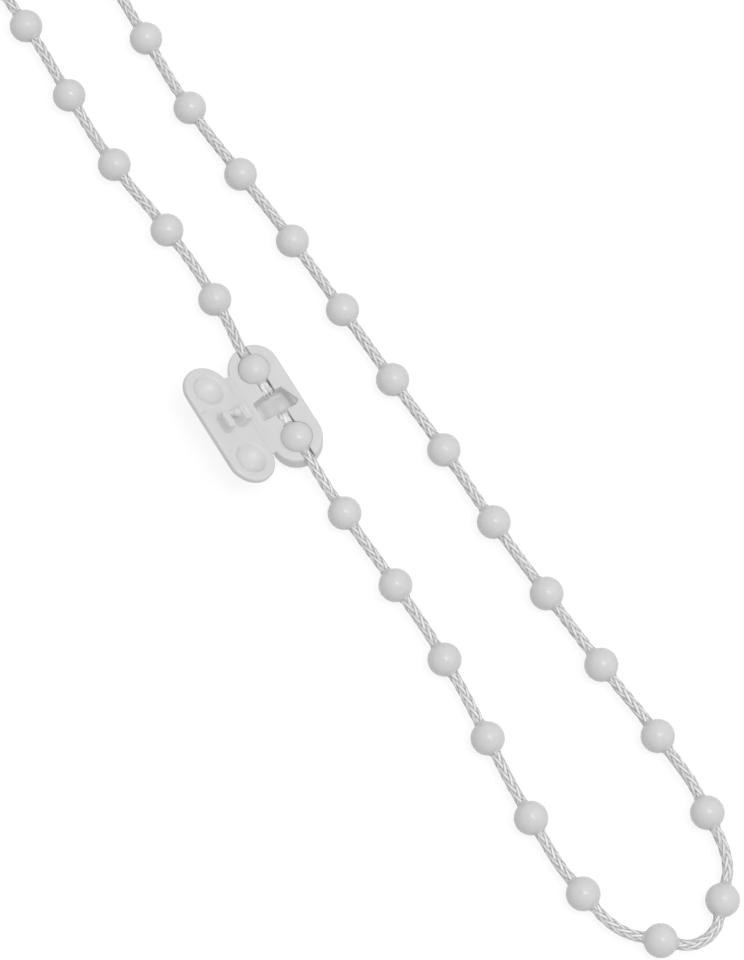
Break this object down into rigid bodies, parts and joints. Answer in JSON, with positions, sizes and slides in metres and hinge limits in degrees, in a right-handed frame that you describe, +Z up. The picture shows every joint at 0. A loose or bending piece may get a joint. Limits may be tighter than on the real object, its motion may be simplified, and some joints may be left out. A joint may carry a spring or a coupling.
{
  "type": "roller blind chain",
  "caption": "Continuous ball chain on a braided cord that drives a roller blind, its ends held in a hinged clip that stands open.",
  "frame": {"origin": "on the underside of the clip's base, under the middle of the clip", "axes": "+Z up from the surface that the chain lies on; +Y along the clip, through its two balls, towards the end of the loop that the picture leaves out; +X across, towards the other strand"},
  "size_m": [0.0316, 0.2304, 0.0088],
  "materials": {
    "clip_plastic": "glossy, slightly translucent moulded plastic",
    "ball_plastic": "smooth moulded plastic, soft gloss",
    "cord_fibre": "glossy braided polyester"
  },
  "bodies": {
    "base": {"connector_base": "clip_plastic", "chain_cord": "cord_fibre", "ball_01": "ball_plastic", "ball_02": "ball_plastic", "ball_03": "ball_plastic", "ball_04": "ball_plastic", "ball_05": "ball_plastic", "ball_06": "ball_plastic", "ball_07": "ball_plastic", "ball_08": "ball_plastic", "ball_09": "ball_plastic", "ball_10": "ball_plastic", "ball_11": "ball_plastic", "ball_12": "ball_plastic", "ball_13": "ball_plastic", "ball_14": "ball_plastic", "ball_15": "ball_plastic", "ball_16": "ball_plastic", "ball_17": "ball_plastic", "ball_18": "ball_plastic", "ball_19": "ball_plastic", "ball_20": "ball_plastic", "ball_21": "ball_plastic", "ball_22": "ball_plastic", "ball_23": "ball_plastic", "ball_24": "ball_plastic", "ball_25": "ball_plastic", "ball_26": "ball_plastic", "ball_27": "ball_plastic", "ball_28": "ball_plastic", "ball_29": "ball_plastic", "ball_30": "ball_plastic", "ball_31": "ball_plastic", "ball_32": "ball_plastic", "ball_33": "ball_plastic", "ball_34": "ball_plastic", "ball_35": "ball_plastic", "ball_36": "ball_plastic", "ball_37": "ball_plastic", "ball_38": "ball_plastic", "ball_39": "ball_plastic", "ball_40": "ball_plastic"},
    "cover": {"connector_cover": "clip_plastic"}
  },
  "joints": [
    {"name": "cover_hinge", "type": "hinge", "parent": "base", "child": "cover", "pos_m": [-0.00365, 0, 0.00445], "axis": [0, 1, 0], "range_deg": [-31, 149]}
  ]
}
